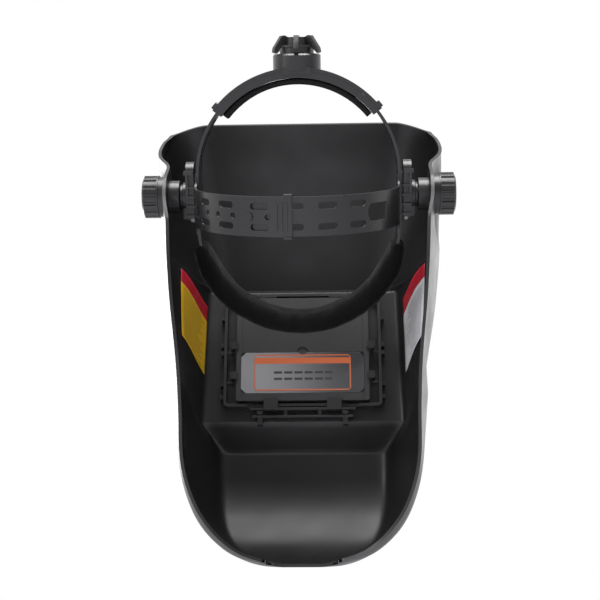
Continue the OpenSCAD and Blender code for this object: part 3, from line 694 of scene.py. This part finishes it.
# %% Rounded rim
shell.data.polygons.foreach_set("use_smooth", [True] * len(shell.data.polygons))
rim = shell.modifiers.new("rim", "BEVEL")
rim.width = 0.0007
rim.segments = 3
rim.limit_method = "ANGLE"
rim.angle_limit = math.radians(50)
shell.modifiers.new("normals", "WEIGHTED_NORMAL").keep_sharp = False
dress(shell, SHELL_BLACK)
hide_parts("shell")

# %% [markdown]
# ## Labels on the side walls
# Each label is a thin sheet that follows the wall just inside it. Laid on the same rule as the
# wall, it can't float or sink. Its own map carries the print: a red header and plain lines.


# %% Printed label
def label_print(name, ground, lines, rows_of_print):
    material, tree, shader = start_material(name, Coat_Weight=0.25, Coat_Roughness=0.15)
    where = add_node(tree, "ShaderNodeTexCoord").outputs["UV"]
    split = add_node(tree, "ShaderNodeSeparateXYZ", {0: where})
    u, v = split.outputs["X"], split.outputs["Y"]
    header = calc(tree, "LESS_THAN", v, 0.2)
    row = calc(tree, "MULTIPLY", v, float(rows_of_print))
    thin = calc(tree, "LESS_THAN", calc(tree, "FRACT", row), 0.32)
    length = add_node(
        tree, "ShaderNodeTexWhiteNoise", {"W": calc(tree, "FLOOR", row)}, noise_dimensions="1D"
    ).outputs["Value"]
    reach = calc(tree, "MULTIPLY_ADD", length, 0.3, 0.58)
    started = calc(tree, "GREATER_THAN", u, 0.1)
    inside = calc(tree, "MULTIPLY", started, calc(tree, "LESS_THAN", u, reach))
    below = calc(tree, "GREATER_THAN", v, 0.25)
    marks = calc(tree, "MULTIPLY", calc(tree, "MULTIPLY", thin, inside), below)
    printed = mixed(tree, marks, ground, lines)
    tree.links.new(mixed(tree, header, printed, (0.5, 0.012, 0.03, 1)), shader.inputs["Base Color"])
    wear = speckle(tree, object_place(tree), 120.0, 5.0)
    tree.links.new(spread_to(tree, wear, 0.35, 0.55), shader.inputs["Roughness"])
    return material


# %% Label sheets
LABEL_SHARE = 0.96
LABEL_INSET = 0.0008
LABEL_THICK = 0.00025


def label_sheet(name, side, s_near, s_far, t_top, t_bottom, slant, material):
    """A sheet that follows the wall between two places across and two along."""
    across, down = 20, 26
    sheet = bmesh.new()
    sheet.loops.layers.uv.new("UVMap")
    bmesh.ops.create_grid(sheet, x_segments=across, y_segments=down, size=0.5, calc_uvs=True)
    uv = sheet.loops.layers.uv.active
    for vert in sheet.verts:
        u, v = vert.co.x + 0.5, vert.co.y + 0.5
        for loop in vert.link_loops:
            loop[uv].uv = (u, v)
        st = station(VISOR, t_top + (t_bottom - t_top) * v + slant * u)
        vert.co = wall_point(st, side * (s_near + (s_far - s_near) * u * LABEL_SHARE))
    sheet.normal_update()
    probe = next(iter(sheet.faces))
    if probe.normal.x * side > 0:
        bmesh.ops.reverse_faces(sheet, faces=sheet.faces)
    sheet.normal_update()
    moves = [(vert, vert.normal * LABEL_INSET) for vert in sheet.verts]
    for vert, move in moves:
        vert.co += move
    piece = make_piece(sheet, name, "shell")
    thick = piece.modifiers.new("thick", "SOLIDIFY")
    thick.thickness = LABEL_THICK
    thick.offset = 0
    dress(piece, material)
    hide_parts("label_left" if side < 0 else "label_right")
    return piece


YELLOW_PRINT = label_print("yellow_print", (0.8, 0.48, 0.02, 1), (0.35, 0.2, 0.01, 1), 20)
WHITE_PRINT = label_print("white_print", (0.75, 0.76, 0.78, 1), (0.3, 0.3, 0.32, 1), 26)
label_sheet("printed_label_left", -1, 2.25, 1.1, 0.25, 2.2, 0.3, YELLOW_PRINT)
label_sheet("printed_label_right", 1, 2.4, 1.35, 0.25, 2.35, 0.3, WHITE_PRINT)
print("labels laid on the walls")

# %% [markdown]
# ## Soft arcs in the headgear
# Both soft parts are arcs about the headgear's own upright axis, which leans back on the pivots.
# A rounded outline spun round that axis gives the foam its true thickness everywhere, which a
# block bent by hand would not.

# %% Spin a rounded outline
GEAR_TILT = math.radians(122)
GEAR = Matrix.Rotation(GEAR_TILT, 4, "X")
RING_R = 0.0775
FRONT_MID = -0.0225
REAR_MID = 0.0165


def soft_arc(mid, radius, thick, tall, first, turn, steps, squareness=3.6):
    """A closed arc of a rounded outline about the headgear's axis, angles in degrees."""
    bm = bmesh.new()
    bmesh.ops.create_circle(bm, cap_ends=False, segments=28, radius=1)
    for vert in bm.verts:
        a = math.atan2(vert.co.y, vert.co.x)
        c, s = math.cos(a), math.sin(a)
        vert.co = Vector((
            radius + thick / 2 * math.copysign(abs(c) ** (2 / squareness), c),
            0,
            tall / 2 * math.copysign(abs(s) ** (2 / squareness), s),
        ))
    bmesh.ops.rotate(
        bm, verts=bm.verts, cent=(0, 0, 0), matrix=Matrix.Rotation(math.radians(first), 3, "Z")
    )
    bmesh.ops.spin(
        bm, geom=bm.edges[:], cent=(0, 0, 0), axis=(0, 0, 1), angle=math.radians(turn),
        steps=steps, use_merge=False,
    )
    bmesh.ops.holes_fill(bm, edges=[e for e in bm.edges if e.is_boundary], sides=0)
    bmesh.ops.translate(bm, verts=bm.verts, vec=(0, mid, 0))
    bmesh.ops.recalc_face_normals(bm, faces=bm.faces)
    bmesh.ops.transform(bm, matrix=GEAR, verts=bm.verts)
    return bm


# %% [markdown]
# ## The sweatband
# The band is felt sewn over foam, so it swells between its edges and gathers where it bends.
# It starts at the foam's own size, is remeshed evenly, and is blown up by a cloth simulation
# under pressure. The moves are capped, so that it stays clear of the sliders beside its ends.


# %% Swell a soft piece
def swell(piece, voxel, pressure, steps, cap):
    """Remeshes a closed piece and blows it up a little, with each point's move capped."""
    even = piece.modifiers.new("even", "REMESH")
    even.mode = "VOXEL"
    even.voxel_size = voxel
    bake(piece)
    start = [v.co.copy() for v in piece.data.vertices]
    cloth = piece.modifiers.new("puff", "CLOTH")
    cloth.settings.use_pressure = True
    cloth.settings.uniform_pressure_force = pressure
    cloth.settings.effector_weights.gravity = 0
    cloth.point_cache.frame_end = steps
    for moment in range(1, steps + 1):
        bpy.context.scene.frame_set(moment)
    bake(piece)
    bpy.context.scene.frame_set(1)
    farthest = 0.0
    for vert, first in zip(piece.data.vertices, start):
        move = vert.co - first
        farthest = max(farthest, move.length)
        if move.length > cap:
            vert.co = first + move.normalized() * cap
    print(piece.name, "swelled by up to", round(min(farthest, cap) * 1000, 1), "mm")
    return piece


# %% Sweatband
BAND_THICK = 0.017
BAND_TALL = 0.032
BAND_START = 190
BAND_TURN = 160
SWELL = 0.0018
sweatband = make_piece(
    soft_arc(FRONT_MID, RING_R + 0.0005, BAND_THICK, BAND_TALL, BAND_START, BAND_TURN, 72),
    "felt_sweatband", "headgear",
)
swell(sweatband, 0.0036, 4, 20, SWELL)

# %% [markdown]
# The felt is pulled round the bend and sewn at its edge, so short gathers run in from the edge,
# deep at the edge and gone at the middle. Two of them overlap. Each is a narrow valley across
# the band, and a slow noise keeps the swelling from looking turned on a lathe. Towards its two
# ends the band thins, where the felt is sewn down beside the sliders.

# %% Gathers
END_TAPER = 22
END_SHARE = 0.4
GATHERS = (
    (258, 2.6, 0.0022), (262, 1.8, 0.0026), (271, 2.2, 0.0020),
    (240, 2.4, 0.0010), (214, 2.4, 0.0012), (290, 2.2, 0.0012),
    (318, 2.6, 0.0010), (197, 2.0, 0.0014), (343, 2.0, 0.0014),
)
to_gear = GEAR.inverted()
finer = sweatband.modifiers.new("finer", "SUBSURF")
finer.levels = finer.render_levels = 1
bake(sweatband)
for vert in sweatband.data.vertices:
    local = to_gear @ vert.co
    out = Vector((local.x, local.y - FRONT_MID, 0))
    angle = math.degrees(math.atan2(out.y, out.x)) % 360
    edge = clamp((local.z + BAND_TALL / 2) / BAND_TALL)
    depth_in = clamp((RING_R - out.length) / (BAND_THICK / 2))
    depth = sum(d * math.exp(-(((angle - a) / w) ** 2)) for a, w, d in GATHERS) * edge * edge
    to_end = clamp((BAND_TURN / 2 - abs(angle - BAND_START - BAND_TURN / 2)) / END_TAPER)
    thinner = (RING_R - out.length) * END_SHARE * (1 - to_end) ** 2
    wander = thinner + noise.noise(local * 70) * 0.0005 + noise.noise(local * 190) * 0.00025
    vert.co = GEAR @ (local + out.normalized() * (depth * depth_in + wander))
sweatband.data.polygons.foreach_set("use_smooth", [True] * len(sweatband.data.polygons))
dress(sweatband, FELT)
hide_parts("sweatband_cover", "sweatband_foam")
print("sweatband points:", len(sweatband.data.vertices))

# %% [markdown]
# ## The pad at the back of the head
# The pad is one strip of open foam under the ratchet's housing. It is cut from sheet and only a
# little crowned, so a spun outline with fuller corners is enough, and no simulation is needed.

# %% Foam pad
PAD_THICK = 0.0048
PAD_TALL = 0.0268
PAD_TURN = 101
pad = make_piece(
    soft_arc(REAR_MID, RING_R - 0.00655, PAD_THICK, PAD_TALL, 90 - PAD_TURN / 2, PAD_TURN, 48, 4.5),
    "foam_pad", "headgear",
)
dress(pad, FOAM)
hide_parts("ratchet_pad")

# %% [markdown]
# ## Floor finish
# The floor is a plain pale surface with a trace of tone, so that shadows read softly.

# %% Floor finish
FLOOR_PALE = moulded("floor_pale", 0.75, 0.6, patch=0.02, drift=0.02)
dress(floor, FLOOR_PALE)
